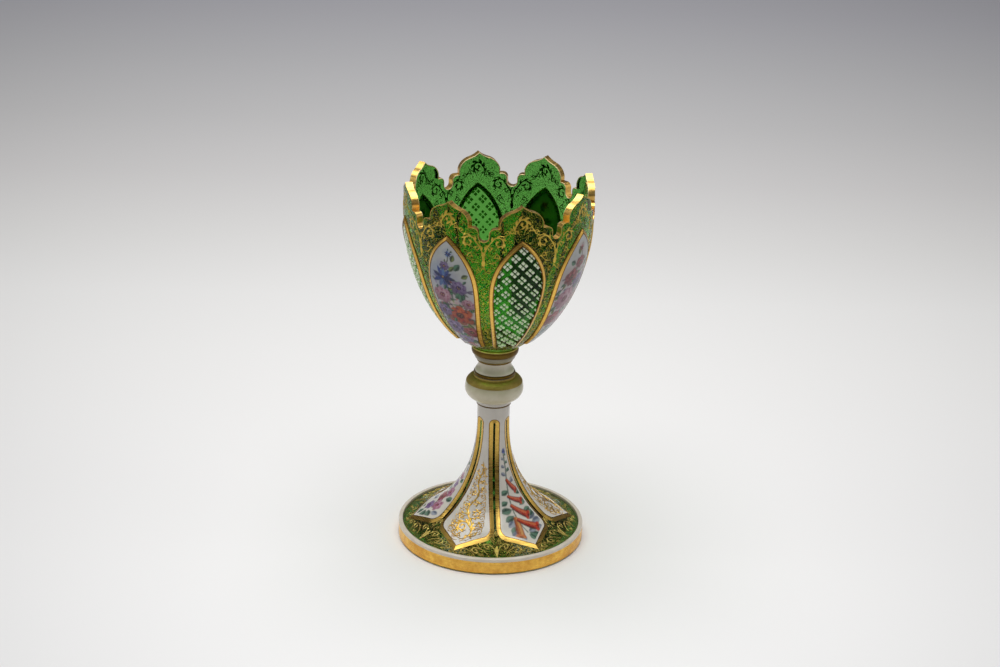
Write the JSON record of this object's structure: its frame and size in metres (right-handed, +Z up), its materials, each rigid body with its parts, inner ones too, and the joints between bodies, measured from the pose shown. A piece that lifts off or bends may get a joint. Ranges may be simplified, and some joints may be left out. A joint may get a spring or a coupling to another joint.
{
  "type": "goblet",
  "caption": "Stemmed goblet in cut overlay glass: lobed green bowl with white panels and gilded edges, on a round knop and a flared foot.",
  "frame": {"origin": "centre of the foot's base, on the surface that the goblet stands on", "axes": "+Z up along the stem, from the foot to the rim; +X to the right of a viewer at the front; +Y away from a viewer at the front"},
  "size_m": [0.086, 0.0856, 0.174],
  "materials": {
    "green_glass": "polished",
    "white_overlay": "glossy",
    "gilding": "burnished"
  },
  "bodies": {
    "root": {"bowl": "green_glass", "foot": "green_glass", "lattice_panel_1": "white_overlay", "lattice_panel_2": "white_overlay", "lattice_panel_3": "white_overlay", "lattice_panel_4": "white_overlay", "flower_panel_1": "white_overlay", "flower_panel_2": "white_overlay", "flower_panel_3": "white_overlay", "flower_panel_4": "white_overlay", "merese_disc": "white_overlay", "collar": "white_overlay", "knop": "white_overlay", "neck_ring": "white_overlay", "stem_overlay": "white_overlay", "foot_rim": "white_overlay", "rim_gilding": "gilding", "merese_ring": "gilding", "merese_line": "gilding", "collar_ring": "gilding", "knop_band": "gilding", "neck_line": "gilding", "foot_band": "gilding", "panel_border_1": "gilding", "panel_border_2": "gilding", "panel_border_3": "gilding", "panel_border_4": "gilding", "panel_border_5": "gilding", "panel_border_6": "gilding", "panel_border_7": "gilding", "panel_border_8": "gilding", "slot_border_1": "gilding", "slot_border_2": "gilding", "slot_border_3": "gilding", "slot_border_4": "gilding", "slot_border_5": "gilding", "slot_border_6": "gilding"}
  },
  "joints": []
}
